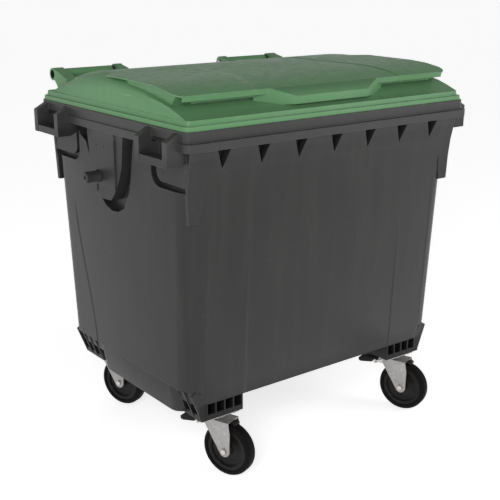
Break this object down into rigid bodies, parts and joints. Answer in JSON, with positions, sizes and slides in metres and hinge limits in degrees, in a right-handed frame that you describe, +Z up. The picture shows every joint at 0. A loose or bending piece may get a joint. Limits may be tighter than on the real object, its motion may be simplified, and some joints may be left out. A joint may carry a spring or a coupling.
{
  "type": "wheelie bin",
  "caption": "Four-wheeled refuse bin: dark grey moulded tub with comb rim, trunnions and lifting frames, green hinged dome lid, swivel casters with front brakes",
  "frame": {"origin": "centre of the bounding box on the floor, with the lid shut and the casters turned as at rest", "axes": "+Z up, the comb rim and the lid lip face -Y, the lid hinges are at +Y, X runs from trunnion to trunnion"},
  "size_m": [1.37, 1.0956, 1.3899],
  "materials": {
    "body_grey": "fine moulded grain",
    "lid_green": "satin moulded",
    "galvanised": "galvanised",
    "zinc_bolt": "zinc plated",
    "wheel_core": "moulded",
    "tyre_rubber": "matt",
    "brake_black": "moulded"
  },
  "bodies": {
    "tub": {"tub_shell": "body_grey", "trunnion_l": "body_grey", "trunnion_r": "body_grey", "caster_plate_fl": "galvanised", "bolt_fl_0": "zinc_bolt", "bolt_fl_1": "zinc_bolt", "bolt_fl_2": "zinc_bolt", "bolt_fl_3": "zinc_bolt", "caster_plate_fr": "galvanised", "bolt_fr_0": "zinc_bolt", "bolt_fr_1": "zinc_bolt", "bolt_fr_2": "zinc_bolt", "bolt_fr_3": "zinc_bolt", "caster_plate_rl": "galvanised", "bolt_rl_0": "zinc_bolt", "bolt_rl_1": "zinc_bolt", "bolt_rl_2": "zinc_bolt", "bolt_rl_3": "zinc_bolt", "caster_plate_rr": "galvanised", "bolt_rr_0": "zinc_bolt", "bolt_rr_1": "zinc_bolt", "bolt_rr_2": "zinc_bolt", "bolt_rr_3": "zinc_bolt"},
    "lid": {"lid_shell": "lid_green", "lid_grip_l": "lid_green", "lid_grip_r": "lid_green", "hinge_pin_l": "galvanised", "hinge_pin_r": "galvanised"},
    "plug": {"drain_plug": "brake_black"},
    "treadle_fl": {"brake_pedal_fl": "brake_black"},
    "shoe_fl": {"brake_shoe_fl": "brake_black"},
    "swivel_fl": {"fork_fl": "galvanised", "king_pin_fl": "zinc_bolt", "axle_fl": "zinc_bolt", "axle_nut_fl": "zinc_bolt", "brake_pin_fl": "zinc_bolt"},
    "wheel_fl": {"tyre_fl": "tyre_rubber", "wheel_core_fl": "wheel_core"},
    "treadle_fr": {"brake_pedal_fr": "brake_black"},
    "shoe_fr": {"brake_shoe_fr": "brake_black"},
    "swivel_fr": {"fork_fr": "galvanised", "king_pin_fr": "zinc_bolt", "axle_fr": "zinc_bolt", "axle_nut_fr": "zinc_bolt", "brake_pin_fr": "zinc_bolt"},
    "wheel_fr": {"tyre_fr": "tyre_rubber", "wheel_core_fr": "wheel_core"},
    "swivel_rl": {"fork_rl": "galvanised", "king_pin_rl": "zinc_bolt", "axle_rl": "zinc_bolt", "axle_nut_rl": "zinc_bolt"},
    "wheel_rl": {"tyre_rl": "tyre_rubber", "wheel_core_rl": "wheel_core"},
    "swivel_rr": {"fork_rr": "galvanised", "king_pin_rr": "zinc_bolt", "axle_rr": "zinc_bolt", "axle_nut_rr": "zinc_bolt"},
    "wheel_rr": {"tyre_rr": "tyre_rubber", "wheel_core_rr": "wheel_core"}
  },
  "joints": [
    {"name": "lid_hinge", "type": "hinge", "parent": "tub", "child": "lid", "pos_m": [0, 0.52375, 1.34], "axis": [-1, 0, 0], "range_deg": [0, 265]},
    {"name": "drain_pull", "type": "slide", "parent": "tub", "child": "plug", "axis": [0, 0, -1], "range_m": [0, 0.03]},
    {"name": "swivel_fl", "type": "hinge", "parent": "tub", "child": "swivel_fl", "pos_m": [-0.442, -0.39875, 0.21], "axis": [0, 0, 1], "continuous": true},
    {"name": "roll_fl", "type": "hinge", "parent": "swivel_fl", "child": "wheel_fl", "pos_m": [-0.42283, -0.4503, 0.09914], "axis": [0.9373, 0.3486, 0], "continuous": true},
    {"name": "brake_fl", "type": "hinge", "parent": "swivel_fl", "child": "treadle_fl", "pos_m": [-0.45594, -0.36125, 0.193], "axis": [-0.9373, -0.3486, 0], "range_deg": [0, 12]},
    {"name": "shoe_fl", "type": "hinge", "parent": "swivel_fl", "child": "shoe_fl", "pos_m": [-0.43433, -0.41937, 0.2037], "axis": [0.9373, 0.3486, 0], "range_deg": [0, 1.5]},
    {"name": "swivel_fr", "type": "hinge", "parent": "tub", "child": "swivel_fr", "pos_m": [0.442, -0.39875, 0.21], "axis": [0, 0, 1], "continuous": true},
    {"name": "roll_fr", "type": "hinge", "parent": "swivel_fr", "child": "wheel_fr", "pos_m": [0.46117, -0.4503, 0.09914], "axis": [0.9373, 0.3486, 0], "continuous": true},
    {"name": "brake_fr", "type": "hinge", "parent": "swivel_fr", "child": "treadle_fr", "pos_m": [0.42806, -0.36125, 0.193], "axis": [-0.9373, -0.3486, 0], "range_deg": [0, 12]},
    {"name": "shoe_fr", "type": "hinge", "parent": "swivel_fr", "child": "shoe_fr", "pos_m": [0.44967, -0.41937, 0.2037], "axis": [0.9373, 0.3486, 0], "range_deg": [0, 1.5]},
    {"name": "swivel_rl", "type": "hinge", "parent": "tub", "child": "swivel_rl", "pos_m": [-0.442, 0.33625, 0.21], "axis": [0, 0, 1], "continuous": true},
    {"name": "roll_rl", "type": "hinge", "parent": "swivel_rl", "child": "wheel_rl", "pos_m": [-0.42283, 0.2847, 0.09914], "axis": [0.9373, 0.3486, 0], "continuous": true},
    {"name": "swivel_rr", "type": "hinge", "parent": "tub", "child": "swivel_rr", "pos_m": [0.442, 0.33625, 0.21], "axis": [0, 0, 1], "continuous": true},
    {"name": "roll_rr", "type": "hinge", "parent": "swivel_rr", "child": "wheel_rr", "pos_m": [0.46117, 0.2847, 0.09914], "axis": [0.9373, 0.3486, 0], "continuous": true}
  ],
  "couplings": [
    {"joint": "shoe_fl", "follows": "brake_fl", "ratio": 0.125},
    {"joint": "shoe_fr", "follows": "brake_fr", "ratio": 0.125}
  ]
}
